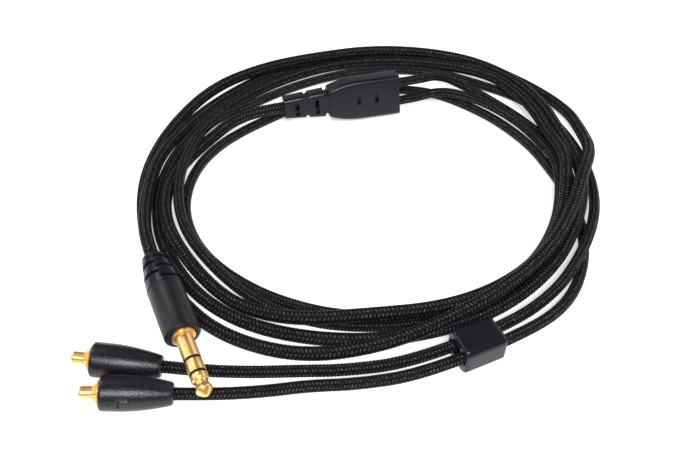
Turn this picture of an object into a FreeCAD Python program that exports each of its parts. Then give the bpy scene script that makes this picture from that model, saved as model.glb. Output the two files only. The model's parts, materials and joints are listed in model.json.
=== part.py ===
import FreeCAD, Part
import math
import os
import Sketcher

# Detachable cable of a pair of in-ear monitors, lying loosely coiled on a flat surface.
# A braided main cable runs from a 3.5 mm plug to a Y-splitter, and two thinner braided legs
# run from there, through a chin slider, to two push-on coaxial connectors.
# Millimetres, +Z up. Z = 0 is the surface the cable lies on.

doc = FreeCAD.newDocument("in_ear_monitor_cable")
Vec = FreeCAD.Vector
X_AXIS, Y_AXIS, Z_AXIS = Vec(1, 0, 0), Vec(0, 1, 0), Vec(0, 0, 1)

# ---------------------------------------------------------------- driving dimensions

DIMENSIONS = {
    # the three cables
    "main_cable_radius": 1.5,
    "leg_cable_radius": 1.25,
    "cable_entry": 2.5,
    "cable_entry_gap": 0.08,
    # where the middle of the coil lies
    "coil_centre_x": -0.23,
    "coil_centre_y": 8.68,
    # plug, measured from the cable end of its boot towards the tip
    "boot_length": 9.2,
    "boot_radius_cable_end": 2.4,
    "boot_radius_barrel_end": 3.72,
    "boot_slot_width": 0.9,
    "boot_slot_pitch": 1.9,
    "barrel_length": 12.4,
    "barrel_radius": 3.75,
    "barrel_wall": 0.75,
    "barrel_rim": 0.5,
    "plug_mould_length": 1.1,
    "plug_core_length": 8.6,
    "lug_overhang": 1.0,
    "shaft_radius": 1.75,
    "shaft_length": 14.5,
    "collar_radius": 2.55,
    "sleeve_band_length": 5.9,
    "ring_band_length": 2.7,
    "insulator_length": 0.6,
    "tip_band_length": 1.0,
    "tip_neck_length": 1.5,
    "tip_neck_radius": 1.3,
    "tip_bulb_radius": 1.7,
    "tip_stem_radius": 0.5,
    "ring_tube_radius": 1.05,
    "core_wall": 0.25,
    "fit_gap": 0.02,
    "plug_x": -36.6,
    "plug_y": -55.5,
    "plug_z": 6.0,
    "plug_heading": -65.0,
    "plug_dip": 3.4,
    # splitter, measured from the cable end of its boot towards the legs
    "splitter_boot_length": 12.0,
    "splitter_boot_width": 7.4,
    "splitter_boot_start_width": 5.4,
    "splitter_boot_thickness": 4.8,
    "splitter_rib_start": 2.75,
    "splitter_rib_pitch": 2.65,
    "splitter_rib_slot": 1.1,
    "splitter_length": 19.0,
    "splitter_width": 10.8,
    "splitter_neck_width": 7.6,
    "splitter_thickness": 5.6,
    "splitter_flare_length": 9.0,
    "splitter_edge_radius": 1.0,
    "splitter_wall": 1.3,
    "splitter_recess_width": 1.0,
    "splitter_recess_length": 2.3,
    "splitter_recess_depth": 0.8,
    "leg_exit_offset": 2.6,
    "splitter_x": -20.9,
    "splitter_y": 19.4,
    "splitter_z": 5.8,
    "splitter_heading": 13.0,
    "splitter_lean": 76.0,
    # chin slider
    "slider_length": 9.2,
    "slider_width": 7.4,
    "slider_height": 7.0,
    "slider_edge_radius": 1.5,
    "slider_hole_radius": 1.5,
    "slider_hole_offset": 1.65,
    "slider_x": 21.46,
    "slider_y": -55.7,
    "slider_heading": 24.5,
    # push-on connectors, measured from the nose of the housing towards the cable
    "housing_length": 13.6,
    "housing_radius": 3.45,
    "housing_tail_radius": 2.15,
    "housing_straight": 4.2,
    "housing_rim": 0.5,
    "housing_wall": 0.9,
    "housing_bore_length": 9.6,
    "flange_radius": 2.5,
    "flange_length": 0.5,
    "step_radius": 1.8,
    "step_length": 0.8,
    "nose_radius": 1.2,
    "nose_length": 2.4,
    "nose_bore_radius": 0.8,
    "pin_radius": 0.25,
    "connector_z": 4.36,
    "connector_dip": 8.0,
}

sheet = doc.addObject("Spreadsheet::Sheet", "Sizes")
for row, (alias, value) in enumerate(DIMENSIONS.items(), start=1):
    sheet.set(f"A{row}", alias)
    sheet.set(f"B{row}", str(value))
    sheet.setAlias(f"B{row}", alias)
doc.recompute()


def size(alias):
    """A driving dimension as the sheet holds it."""
    return float(sheet.get(alias))


# ---------------------------------------------------------------- ways of making a piece

SUB_PARTS = []


def keep(piece, label, placement=None):
    """Label a finished sub-part and put it in its place."""
    piece.Label = label
    if placement is not None:
        piece.Placement = placement
    SUB_PARTS.append(piece)
    return piece


def value_of(expression):
    """The number that an expression of sheet aliases stands for."""
    numbers = {alias: size(alias) for alias in DIMENSIONS if alias in expression}
    total = 0.0
    for term in expression.replace("-", "+-").split("+"):
        term = term.strip()
        if not term:
            continue
        sign = -1.0 if term.startswith("-") else 1.0
        product = sign
        for factor in term.lstrip("-").split("*"):
            factor = factor.strip()
            product *= numbers[factor] if factor in numbers else float(factor)
        total += product
    return total


def bound(expression):
    """The same expression, as the document's expression engine reads it."""
    terms = expression.replace("+", " + ").replace("-", " - ").replace("*", " * ").split()
    return " ".join(f"Sizes.{term}" if term in DIMENSIONS else term for term in terms)


def body_plane(body, role):
    for feature in body.Origin.OriginFeatures:
        if feature.Role == role:
            return feature
    raise ValueError(role)


def outline_sketch(body, name, corners, plane="XY_Plane"):
    """A closed outline of straight lines on one of the body's own planes.

    Each corner is a pair of expressions of sheet aliases, and "0" puts it on an axis.
    """
    sketch = body.newObject("Sketcher::SketchObject", name)
    sketch.AttachmentSupport = (body_plane(body, plane), [""])
    sketch.MapMode = "FlatFace"
    points = [Vec(value_of(along), value_of(across), 0) for along, across in corners]
    count = len(points)
    for index in range(count):
        sketch.addGeometry(Part.LineSegment(points[index], points[(index + 1) % count]), False)
    for index in range(count):
        sketch.addConstraint(Sketcher.Constraint("Coincident", index, 2, (index + 1) % count, 1))
    for index, (along, across) in enumerate(corners):
        for kind, axis, expression in (("DistanceX", -2, along), ("DistanceY", -1, across)):
            if expression == "0":
                sketch.addConstraint(Sketcher.Constraint("PointOnObject", index, 1, axis))
                continue
            number = sketch.addConstraint(
                Sketcher.Constraint(kind, -1, 1, index, 1, value_of(expression)))
            sketch.setExpression(f"Constraints[{number}]", bound(expression))
    return sketch


def turned(label, profile, placement):
    """A piece turned about its long axis, local +X, from a closed profile of (along, radius)."""
    body = doc.addObject("PartDesign::Body", label)
    sketch = outline_sketch(body, label + "_profile", profile)
    revolution = body.newObject("PartDesign::Revolution", label + "_turn")
    revolution.Profile = sketch
    revolution.ReferenceAxis = (sketch, ["H_Axis"])
    revolution.Angle = 360
    doc.recompute()
    return keep(body, label, placement)


def cylinder(name, radius, length, start="0", offset_y="0", offset_z="0"):
    """A rod along local +X, with every size bound to the sheet."""
    rod = doc.addObject("Part::Cylinder", name)
    rod.setExpression("Radius", bound(radius))
    rod.setExpression("Height", bound(length))
    rod.Placement = FreeCAD.Placement(Vec(0, 0, 0), FreeCAD.Rotation(Y_AXIS, 90))
    for letter, expression in (("x", start), ("y", offset_y), ("z", offset_z)):
        if expression != "0":
            rod.setExpression(f"Placement.Base.{letter}", bound(expression))
    return rod


def block(name, length, width, height, corner):
    """A box whose low corner is given, all bound to the sheet."""
    box = doc.addObject("Part::Box", name)
    for side, expression in (("Length", length), ("Width", width), ("Height", height)):
        box.setExpression(side, bound(expression))
    for letter, expression in zip("xyz", corner):
        if expression != "0":
            box.setExpression(f"Placement.Base.{letter}", bound(expression))
    return box


def cut(name, base, tool):
    feature = doc.addObject("Part::Cut", name)
    feature.Base = base
    feature.Tool = tool
    return feature


def fused(name, shapes):
    feature = doc.addObject("Part::MultiFuse", name)
    feature.Shapes = shapes
    return feature


def together(name, shapes):
    """Separate solids that share one node."""
    feature = doc.addObject("Part::Compound", name)
    feature.Links = shapes
    return feature


# ---------------------------------------------------------------- places

def coil_point(bearing, radius, height):
    """A point by its bearing about the middle of the coil, in degrees from +X."""
    angle = math.radians(bearing)
    return Vec(size("coil_centre_x") + radius * math.cos(angle),
               size("coil_centre_y") + radius * math.sin(angle), height)


def beside_coil(x, y, height):
    """A point by its distance from the middle of the coil along X and Y."""
    return Vec(size("coil_centre_x") + x, size("coil_centre_y") + y, height)


def heading(turn, dip=0.0, lean=0.0):
    """Local +X turned to a heading, its far end dipped, and rolled about itself."""
    return (FreeCAD.Rotation(Z_AXIS, turn)
            * FreeCAD.Rotation(Y_AXIS, dip)
            * FreeCAD.Rotation(X_AXIS, lean))


def plug_place():
    """The plug's origin is the cable end of its boot; its sheet point is the barrel's front."""
    turn = heading(size("plug_heading"), size("plug_dip"))
    back = turn.multVec(Vec(-size("boot_length") - size("barrel_length"), 0, 0))
    front = beside_coil(size("plug_x"), size("plug_y"), size("plug_z"))
    return FreeCAD.Placement(front + back, turn)


def splitter_place():
    turn = heading(size("splitter_heading"), 0.0, size("splitter_lean"))
    start = beside_coil(size("splitter_x"), size("splitter_y"), size("splitter_z"))
    return FreeCAD.Placement(start, turn)


def slider_place():
    middle = beside_coil(size("slider_x"), size("slider_y"), size("slider_height") / 2)
    return FreeCAD.Placement(middle, heading(size("slider_heading")))


# side: (place of the housing's nose beside the coil, heading towards the cable)
CONNECTORS = {
    "right": (-54.0, -59.8, -2.0),
    "left": (-50.8, -67.4, 4.0),
}


def connector_place(side):
    x, y, turn = CONNECTORS[side]
    nose = beside_coil(x, y, size("connector_z"))
    return FreeCAD.Placement(nose, heading(turn, size("connector_dip")))


# ---------------------------------------------------------------- plug

def make_plug():
    place = plug_place()
    front = "boot_length + barrel_length"
    collar_back = front + " - 0.6"
    collar_front = front + " + 0.5"
    ring_gap_back = front + " + sleeve_band_length"
    ring_back = ring_gap_back + " + insulator_length"
    ring_front = ring_back + " + ring_band_length"
    tip_back = ring_front + " + insulator_length"
    neck_back = tip_back + " + tip_band_length"
    bulb_back = neck_back + " + tip_neck_length"
    tip_end = front + " + shaft_length"
    stem_back = front + " - 9.0"
    tube_back = front + " - 7.0"
    sleeve_back = front + " - 5.0"
    tube_outer = "ring_tube_radius"
    tube_inner = "ring_tube_radius - core_wall"
    liner_outer = "ring_tube_radius + core_wall"

    turned("plug_tip_contact", [
        (stem_back, "0"), (stem_back, "tip_stem_radius"), (tip_back, "tip_stem_radius"),
        (tip_back, "shaft_radius"), (neck_back, "shaft_radius"),
        (neck_back + " + 0.5", "tip_neck_radius"), (bulb_back + " - 0.3", "tip_neck_radius"),
        (bulb_back + " + 0.5", "tip_bulb_radius - 0.06"), (bulb_back + " + 0.8", "tip_bulb_radius"),
        (tip_end + " - 0.5", "tip_bulb_radius - 0.75"), (tip_end + " - 0.15", "0.55"),
        (tip_end, "0.3"), (tip_end, "0"),
    ], place)
    turned("plug_front_insulator", [
        (ring_front, "tip_stem_radius + fit_gap"), (ring_front, "shaft_radius"),
        (tip_back, "shaft_radius"), (tip_back, "tip_stem_radius + fit_gap"),
    ], place)
    turned("plug_core_insulator", [
        (tube_back, "tip_stem_radius + fit_gap"), (tube_back, tube_inner + " - fit_gap"),
        (ring_front, tube_inner + " - fit_gap"), (ring_front, "tip_stem_radius + fit_gap"),
    ], place)
    turned("plug_ring_contact", [
        (tube_back, tube_inner), (tube_back, tube_outer), (ring_back, tube_outer),
        (ring_back, "shaft_radius"), (ring_front, "shaft_radius"), (ring_front, tube_inner),
    ], place)
    turned("plug_rear_insulator", [
        (sleeve_back, tube_outer + " + fit_gap"), (sleeve_back, liner_outer),
        (ring_gap_back, liner_outer), (ring_gap_back, "shaft_radius"),
        (ring_back, "shaft_radius"), (ring_back, tube_outer + " + fit_gap"),
    ], place)
    turned("plug_sleeve_contact", [
        (sleeve_back, liner_outer + " + fit_gap"), (sleeve_back, "2.2"),
        (collar_back, "2.2"), (collar_back, "collar_radius"),
        (collar_front + " - 0.2", "collar_radius"), (collar_front, "collar_radius - 0.2"),
        (collar_front, "shaft_radius"), (ring_gap_back, "shaft_radius"),
        (ring_gap_back, liner_outer + " + fit_gap"),
    ], place)
    turned("plug_barrel", [
        ("boot_length", "main_cable_radius + cable_entry_gap"), ("boot_length", "barrel_radius"),
        (front + " - barrel_rim", "barrel_radius"),
        (front + " - 0.5 * barrel_rim", "barrel_radius - 0.13 * barrel_rim"),
        (front + " - 0.13 * barrel_rim", "barrel_radius - 0.5 * barrel_rim"),
        (front, "barrel_radius - barrel_rim"), (front, "collar_radius + 0.1"),
        (front + " - 0.7", "collar_radius + 0.1"), (front + " - 0.7", "2.25"),
        (front + " - 2.0", "2.25"), (front + " - 2.0", "barrel_radius - barrel_wall"),
        ("boot_length + barrel_wall", "barrel_radius - barrel_wall"),
        ("boot_length + barrel_wall", "main_cable_radius + cable_entry_gap"),
    ], place)

    mould_back = "boot_length + barrel_wall + 0.1"
    turned("plug_inner_mould", [
        (mould_back, "1.25"), (mould_back, "barrel_radius - barrel_wall - 0.1"),
        (mould_back + " + plug_mould_length", "barrel_radius - barrel_wall - 0.1"),
        (mould_back + " + plug_mould_length", "1.25"),
    ], place)

    lug_back = front + " - 9.4 - lug_overhang"
    lugs = [
        block("tip_lug", "lug_overhang", "1.0", "0.3", (lug_back, "-0.5", "-0.15")),
        block("ring_lug", "lug_overhang + 2", "0.3", "1.0", (lug_back, "1.3", "-0.5")),
        block("sleeve_lug", "lug_overhang + 2", "0.3", "1.2", (lug_back, "-1.9", "-0.6")),
    ]
    keep(together("plug_solder_lugs", lugs), "plug_solder_lugs", place)

    wires = []
    for index, (y, z) in enumerate((("0.62", "0"), ("-0.36", "0.55"), ("-0.36", "-0.55"))):
        wires.append(cylinder(f"plug_core_{index}", "0.35", "plug_core_length", "cable_entry + 0.02", y, z))
    keep(together("plug_wire_cores", wires), "plug_wire_cores", place)
    make_plug_boot(place)


def make_plug_boot(place):
    """A tapered boot round the cable, cut by four slots that alternate a quarter turn."""
    cone = doc.addObject("Part::Cone", "plug_boot_cone")
    cone.setExpression("Radius1", bound("boot_radius_cable_end"))
    cone.setExpression("Radius2", bound("boot_radius_barrel_end"))
    cone.setExpression("Height", bound("boot_length"))
    cone.Placement = FreeCAD.Placement(Vec(0, 0, 0), FreeCAD.Rotation(Y_AXIS, 90))
    bore = cylinder("plug_boot_bore", "main_cable_radius + cable_entry_gap", "boot_length + 2", "-1")
    slots = []
    for index in range(4):
        start = f"1.0 + {index} * boot_slot_pitch"
        for side in (1, -1):
            low = "main_cable_radius + 0.45" if side > 0 else "-4.0"
            tall = "4.0 - main_cable_radius - 0.45"
            if index % 2:
                corner = (start, low, "-4.0")
                slots.append(block(f"plug_boot_slot_{index}_{side}", "boot_slot_width", tall, "8.0", corner))
            else:
                corner = (start, "-4.0", low)
                slots.append(block(f"plug_boot_slot_{index}_{side}", "boot_slot_width", "8.0", tall, corner))
    solid = cut("plug_boot_solid", cone, bore)
    keep(cut("plug_boot", solid, fused("plug_boot_slots", slots)), "plug_boot", place)


# ---------------------------------------------------------------- splitter

def make_splitter():
    place = splitter_place()
    start = "splitter_boot_length"
    end = start + " + splitter_length"

    body = doc.addObject("PartDesign::Body", "splitter_solid")
    outline = outline_sketch(body, "splitter_outline", [
        (start, "-0.5 * splitter_neck_width"),
        (start + " + 0.35 * splitter_flare_length", "-0.42 * splitter_width"),
        (start + " + 0.7 * splitter_flare_length", "-0.478 * splitter_width"),
        (start + " + splitter_flare_length", "-0.5 * splitter_width"),
        (end, "-0.5 * splitter_width"), (end, "0.5 * splitter_width"),
        (start + " + splitter_flare_length", "0.5 * splitter_width"),
        (start + " + 0.7 * splitter_flare_length", "0.478 * splitter_width"),
        (start + " + 0.35 * splitter_flare_length", "0.42 * splitter_width"),
        (start, "0.5 * splitter_neck_width"),
    ])
    pad = body.newObject("PartDesign::Pad", "splitter_pad")
    pad.Profile = outline
    pad.Midplane = True
    pad.setExpression("Length", bound("splitter_thickness"))
    doc.recompute()
    rounding = body.newObject("PartDesign::Fillet", "splitter_edges")
    rounding.Base = (pad, long_edges(pad.Shape, size("splitter_thickness") / 2))
    rounding.setExpression("Radius", bound("splitter_edge_radius"))
    doc.recompute()

    hollow = block("splitter_hollow", "splitter_length - 2 * splitter_wall", "6.4",
                   "splitter_thickness - 2 * splitter_wall",
                   (start + " + splitter_wall", "-3.2", "-0.5 * splitter_thickness + splitter_wall"))
    tools = [hollow, cylinder("splitter_cable_bore", "main_cable_radius + cable_entry_gap",
                              "splitter_wall + 1", start + " - 0.5")]
    for side in (1, -1):
        tools.append(cylinder(f"splitter_leg_bore_{side}", "leg_cable_radius + cable_entry_gap",
                              "cable_entry + 1", end + " - cable_entry",
                              f"{side} * leg_exit_offset"))
        low = "0.5 * splitter_thickness - splitter_recess_depth" if side > 0 else "-0.5 * splitter_thickness"
        for index, distance in enumerate(("7.3", "12.2")):
            tools.append(block(f"splitter_recess_{side}_{index}", "splitter_recess_width",
                               "splitter_recess_length", "splitter_recess_depth",
                               (start + f" + {distance}", "-0.5 * splitter_recess_length", low)))
    shell = cut("splitter_shell_cut", body, fused("splitter_shell_tools", tools))
    keep(shell, "splitter_shell", place)

    mould = block("splitter_mould_block", "6.0", "6.2", "splitter_thickness - 2 * splitter_wall - 0.2",
                  (start + " + splitter_wall + 3.5", "-3.1",
                   "-0.5 * splitter_thickness + splitter_wall + 0.1"))
    passages = [cylinder(f"splitter_mould_passage_{index}", "0.55", "7.0",
                         start + " + splitter_wall + 3.0", offset)
                for index, offset in enumerate(("-2.1", "-0.7", "0.7", "2.1"))]
    keep(cut("splitter_inner_mould", mould, fused("splitter_passages", passages)),
         "splitter_inner_mould", place)
    splices = [cylinder(f"splice_{index}", "0.5", "4.4", start + " + splitter_wall + 4.3", offset)
               for index, offset in enumerate(("-2.1", "-0.7", "0.7", "2.1"))]
    keep(together("splitter_splices", splices), "splitter_splices", place)
    make_splitter_boot(place)


def long_edges(shape, half_thickness):
    """The edges round both broad faces, but for those that run straight across."""
    names = []
    for number, edge in enumerate(shape.Edges, start=1):
        ends = [vertex.Point for vertex in edge.Vertexes]
        on_face = all(abs(abs(point.z) - half_thickness) < 1e-6 for point in ends)
        crosswise = all(abs(point.x - ends[0].x) < 1e-6 for point in ends)
        if on_face and not crosswise:
            names.append(f"Edge{number}")
    return names


def make_splitter_boot(place):
    """A flat ribbed boot: centre slots and side notches alternate along it."""
    body = doc.addObject("PartDesign::Body", "splitter_boot_solid")
    outline = outline_sketch(body, "splitter_boot_outline", [
        ("0", "-0.5 * splitter_boot_start_width"),
        ("splitter_boot_length", "-0.5 * splitter_boot_width"),
        ("splitter_boot_length", "0.5 * splitter_boot_width"),
        ("0", "0.5 * splitter_boot_start_width"),
    ])
    pad = body.newObject("PartDesign::Pad", "splitter_boot_pad")
    pad.Profile = outline
    pad.Midplane = True
    pad.setExpression("Length", bound("splitter_boot_thickness"))
    doc.recompute()
    rounding = body.newObject("PartDesign::Fillet", "splitter_boot_edges")
    rounding.Base = (pad, long_edges(pad.Shape, size("splitter_boot_thickness") / 2))
    rounding.setExpression("Radius", bound("splitter_edge_radius"))
    doc.recompute()
    tools = [cylinder("splitter_boot_bore", "main_cable_radius + cable_entry_gap",
                      "splitter_boot_length + 2", "-1")]
    for index in range(4):
        slot_start = f"splitter_rib_start + {index} * splitter_rib_pitch"
        for side in (1, -1):
            if index % 2:
                low = "main_cable_radius + 0.6" if side > 0 else "-0.5 * splitter_boot_width - 1"
                wide = "0.5 * splitter_boot_width + 1 - main_cable_radius - 0.6"
                corner = (slot_start, low, "-4.0")
                tools.append(block(f"splitter_boot_slot_{index}_{side}", "splitter_rib_slot", wide, "8.0", corner))
            else:
                low = "main_cable_radius + 0.4" if side > 0 else "-0.5 * splitter_boot_thickness - 1"
                tall = "0.5 * splitter_boot_thickness + 1 - main_cable_radius - 0.4"
                corner = (slot_start, "-2.2", low)
                tools.append(block(f"splitter_boot_slot_{index}_{side}", "splitter_rib_slot", "4.4", tall, corner))
    keep(cut("splitter_boot", body, fused("splitter_boot_tools", tools)), "splitter_boot", place)


# ---------------------------------------------------------------- chin slider

def make_slider():
    """A rounded block with one hole for each leg; it slides along the legs."""
    body = doc.addObject("PartDesign::Body", "slider_solid")
    outline = outline_sketch(body, "slider_outline", [
        ("-0.5 * slider_width", "-0.5 * slider_height"), ("0.5 * slider_width", "-0.5 * slider_height"),
        ("0.5 * slider_width", "0.5 * slider_height"), ("-0.5 * slider_width", "0.5 * slider_height"),
    ], plane="YZ_Plane")
    pad = body.newObject("PartDesign::Pad", "slider_pad")
    pad.Profile = outline
    pad.Midplane = True
    pad.setExpression("Length", bound("slider_length"))
    doc.recompute()
    names = []
    for number, edge in enumerate(pad.Shape.Edges, start=1):
        direction = edge.Vertexes[-1].Point - edge.Vertexes[0].Point
        if abs(direction.x) > 1:
            names.append(f"Edge{number}")
    rounding = body.newObject("PartDesign::Fillet", "slider_edges")
    rounding.Base = (pad, names)
    rounding.setExpression("Radius", bound("slider_edge_radius"))
    doc.recompute()
    holes = [cylinder(f"slider_hole_{side}", "slider_hole_radius", "slider_length + 2",
                      "-0.5 * slider_length - 1", f"{side} * slider_hole_offset")
             for side in (1, -1)]
    keep(cut("chin_slider_cut", body, fused("slider_holes", holes)), "chin_slider", slider_place())


# ---------------------------------------------------------------- push-on connectors

def make_connector(side):
    """Housing and metal parts of one connector, local +X from its nose to its cable.

    The metal nose stands out of the housing towards local -X, so its profiles are drawn
    on the positive side and turned about.
    """
    place = connector_place(side)
    facing = FreeCAD.Placement(place.Base, place.Rotation * FreeCAD.Rotation(Z_AXIS, 180))
    rim_near = "0.13 * housing_rim"
    tail = "housing_length"
    taper = "housing_length - housing_straight"
    drop = "housing_radius - housing_tail_radius"
    profile = [
        ("0", "flange_radius - 0.3"), ("0", "housing_radius - housing_rim"),
        (rim_near, "housing_radius - 0.5 * housing_rim"),
        ("0.5 * housing_rim", "housing_radius - 0.13 * housing_rim"),
        ("housing_rim", "housing_radius"), ("housing_straight", "housing_radius"),
    ]
    for share, fallen in ((0.25, 0.06), (0.5, 0.25), (0.75, 0.56), (0.94, 0.885)):
        profile.append((f"housing_straight + {share} * housing_length - {share} * housing_straight",
                        f"housing_radius - {fallen} * housing_radius + {fallen} * housing_tail_radius"))
    profile += [
        (tail, "housing_tail_radius - 0.2"), (tail, "leg_cable_radius + cable_entry_gap"),
        ("housing_bore_length + 0.9", "leg_cable_radius + cable_entry_gap"),
        ("housing_bore_length + 0.9", "1.1"), ("housing_bore_length", "1.1"),
        ("housing_bore_length", "flange_radius - 0.3"),
    ]
    turned(f"{side}_connector_housing", profile, place)

    flange = "flange_length"
    step = "flange_length + step_length"
    nose = step + " + nose_length"
    turned(f"{side}_connector_contact_shell", [
        ("0.02", "nose_bore_radius"), ("0.02", "flange_radius"), (flange, "flange_radius"),
        (flange, "step_radius"), (step, "step_radius"), (step, "nose_radius"),
        (nose + " - 0.35", "nose_radius"), (nose, "nose_radius - 0.2"), (nose, "nose_bore_radius"),
    ], facing)
    turned(f"{side}_connector_insulator", [
        ("0.3", "pin_radius + fit_gap"), ("0.3", "nose_bore_radius - fit_gap"),
        (step + " + 0.6", "nose_bore_radius - fit_gap"), (step + " + 0.6", "pin_radius + fit_gap"),
    ], facing)
    turned(f"{side}_connector_centre_pin", [
        ("0.02", "0"), ("0.02", "pin_radius"), (nose + " - 0.6", "pin_radius"),
        (nose + " - 0.4", "pin_radius - 0.1"), (nose + " - 0.4", "0"),
    ], facing)
    turned(f"{side}_connector_body", [
        ("0.02", "pin_radius + 0.35"), ("0.02", "flange_radius - 0.32"),
        ("4.5", "flange_radius - 0.32"), ("4.5", "pin_radius + 0.35"),
    ], place)
    turned(f"{side}_connector_crimp", [
        ("4.6", "0.75"), ("4.6", "1.35"), ("8.4", "1.35"), ("8.4", "0.75"),
    ], place)
    wires = [cylinder(f"{side}_core_{index}", "0.3", "6.2", "4.85", offset)
             for index, offset in enumerate(("0.35", "-0.35"))]
    keep(together(f"{side}_connector_wires", wires), f"{side}_connector_wires", place)


# ---------------------------------------------------------------- cables

# How the cables lie, as (bearing, radius, height) about the middle of the coil: clockwise, and
# each turn over or beside the last one. A rounded route passes inside its points.
MAIN_LAY = [
    (202, 54.6, 5.6), (190, 52.6, 3.9), (178, 51.4, 3.8), (160, 49.5, 1.9),
    (144, 48.4, 1.5), (126, 48.4, 1.5), (108, 50.2, 1.5), (84, 53, 1.5),
    (60, 57.6, 1.5), (42, 58.6, 1.5), (24, 60.8, 1.6), (12, 58.4, 2.9),
    (0, 55.6, 7.2), (348, 52, 9.3), (336, 51.3, 7.2), (320, 51.6, 6.9),
    (304, 51.9, 6.6), (288, 53.3, 5.3), (272, 56.2, 3.3), (256, 59.1, 1.5),
    (240, 60.2, 1.5), (226, 58.6, 1.5), (212, 56.9, 1.5), (196, 55.3, 1.5),
    (180, 54.4, 1.5), (162, 53.2, 2.0), (144, 50.8, 4.7), (126, 48.2, 4.9),
    (108, 47.9, 4.0), (84, 50.8, 3.8), (60, 54.7, 3.6), (42, 55.1, 4.2),
    (26, 53.7, 4.3), (12, 52, 4.1), (0, 52.7, 4.6), (348, 52.9, 6.1),
    (336, 53.2, 4.2), (320, 53.8, 3.8), (304, 53.75, 2.7), (288, 53.3, 1.6),
    (268, 53.9, 1.5), (248, 55.3, 1.5), (232, 55.7, 1.5), (216, 54, 1.5),
    (200, 52.5, 1.5), (180, 49.6, 1.5), (160, 46.4, 1.5), (140, 44.6, 1.5),
    (120, 44.6, 1.5), (102, 46.2, 1.5), (84, 48.1, 1.5), (66, 50.7, 1.6),
    (48, 51.6, 4.1), (36, 51.3, 4.3), (24, 50.2, 4.2), (12, 48.9, 4.1),
    (0, 49.6, 6.3), (348, 48.9, 6.5), (336, 49.7, 4.3), (320, 50.4, 3.9),
    (304, 50, 3.9), (288, 49.2, 3.9), (270, 48.8, 4.2), (254, 52, 4.1),
    (240, 52.3, 1.7), (228, 51.6, 1.7), (214, 51.3, 4.1), (202, 50.4, 4.2),
    (190, 48.1, 3.5), (178, 45.1, 2.2), (166, 41.6, 1.9), (154, 37.8, 3.9),
]
RIGHT_LAY = [
    (58, 40.6, 5.9), (48, 44.2, 2.6), (36, 45.9, 1.25), (24, 47.4, 1.25),
    (12, 49.8, 1.25), (0, 50.4, 2.3), (348, 50.7, 4.4), (336, 51.3, 1.8),
    (320, 51.75, 1.25), (304, 51.35, 1.25), (284, 50.45, 1.25), (264, 50, 1.25),
    (250, 49.6, 1.25), (239, 49.1, 2.0), (228, 48.6, 3.6), (214, 47.9, 3.9),
    (202, 47, 3.9), (190, 45.5, 4.9), (178, 44, 5.2), (166, 43.1, 4.8),
    (154, 42.4, 3.2), (142, 40.9, 1.3), (126, 40, 1.25), (110, 40.6, 1.25),
    (94, 42.4, 1.25), (78, 44.9, 1.25), (62, 47.8, 1.25), (48, 49.2, 1.25),
    (36, 52.6, 1.25), (24, 54.8, 1.25), (12, 55.4, 1.25), (0, 56.2, 1.3),
    (348, 56.4, 2.4), (336, 56.6, 4.1), (324, 57.1, 4.3), (313.5, 57.8, 3.3),
]
LEFT_LAY = [
    (54, 35.9, 4.2), (44, 38.6, 4.3), (34, 40.9, 4.3), (22, 44.5, 3.1),
    (12, 47.1, 1.8), (0, 47.9, 4.1), (348, 48.1, 3.4), (336, 48.7, 1.3),
    (320, 49.1, 1.25), (304, 48.7, 1.25), (284, 47.8, 1.25), (264, 47.4, 1.25),
    (246, 46.9, 1.25), (230, 46.8, 1.25), (216, 46.9, 1.25), (202, 45.9, 1.25),
    (190, 44, 1.25), (178, 41.6, 1.25), (166, 38.4, 1.25), (154, 35, 1.25),
    (140, 32.3, 1.25), (122, 31.5, 1.25), (104, 31.8, 1.25), (86, 33.6, 1.25),
    (70, 36.2, 1.25), (56, 38.2, 1.25), (42, 39.2, 1.25), (28, 41.3, 1.25),
    (12, 44.4, 1.25), (0, 46.7, 1.25), (348, 51, 1.25), (336, 55.2, 1.25),
    (324, 58.8, 1.6), (312, 61.6, 3.0),
]


def along_axis(placement, distance, across=0.0):
    """A point on a piece's own long axis, or beside it."""
    return placement.multVec(Vec(distance, across, 0))


def leg_in_slider(side):
    """The straight stretch of a leg on which the slider sits and slides."""
    place = slider_place()
    across = side * size("slider_hole_offset")
    return [along_axis(place, 9.5, across), along_axis(place, -13.5, across)]


def leg_end(side):
    """The last stretch of a leg, straight into its connector."""
    place = connector_place(side)
    tail = size("housing_length")
    return [along_axis(place, tail + 7.0), along_axis(place, tail - size("cable_entry"))]


def main_route():
    plug, splitter = plug_place(), splitter_place()
    entry = size("cable_entry")
    return ([along_axis(plug, entry), along_axis(plug, -6.0)]
            + [coil_point(*station) for station in MAIN_LAY]
            + [along_axis(splitter, -5.0), along_axis(splitter, entry)])


def leg_route(side, across, lead, lay, tail_points):
    splitter = splitter_place()
    end = size("splitter_boot_length") + size("splitter_length")
    offset = across * size("leg_exit_offset")
    return ([along_axis(splitter, end - size("cable_entry"), offset),
             along_axis(splitter, end + lead, offset)]
            + [coil_point(*station) for station in lay]
            + leg_in_slider(across)
            + [beside_coil(*point) for point in tail_points]
            + leg_end(side))


def tube_path(points, label):
    """Straight runs joined by tangent arcs, each as large as its two runs allow."""
    edges = []
    radii = []
    start = points[0]
    for before, corner, after in zip(points, points[1:], points[2:]):
        back, ahead = before - corner, after - corner
        shorter = min(back.Length, ahead.Length)
        back.normalize()
        ahead.normalize()
        turn = math.pi - back.getAngle(ahead)
        tangent = 0.45 * shorter
        radius = tangent / math.tan(turn / 2)
        radii.append(radius)
        inward = back + ahead
        inward.normalize()
        middle = corner + inward * (radius / math.cos(turn / 2) - radius)
        first, last = corner + back * tangent, corner + ahead * tangent
        edges.append(Part.LineSegment(start, first).toShape())
        edges.append(Part.Arc(first, middle, last).toShape())
        start = last
    edges.append(Part.LineSegment(start, points[-1]).toShape())
    print(f"{label}: {len(points)} points, tightest arcs "
          + ", ".join(f"{radius:.1f}" for radius in sorted(radii)[:5]) + " mm")
    return Part.Wire(edges)


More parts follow.
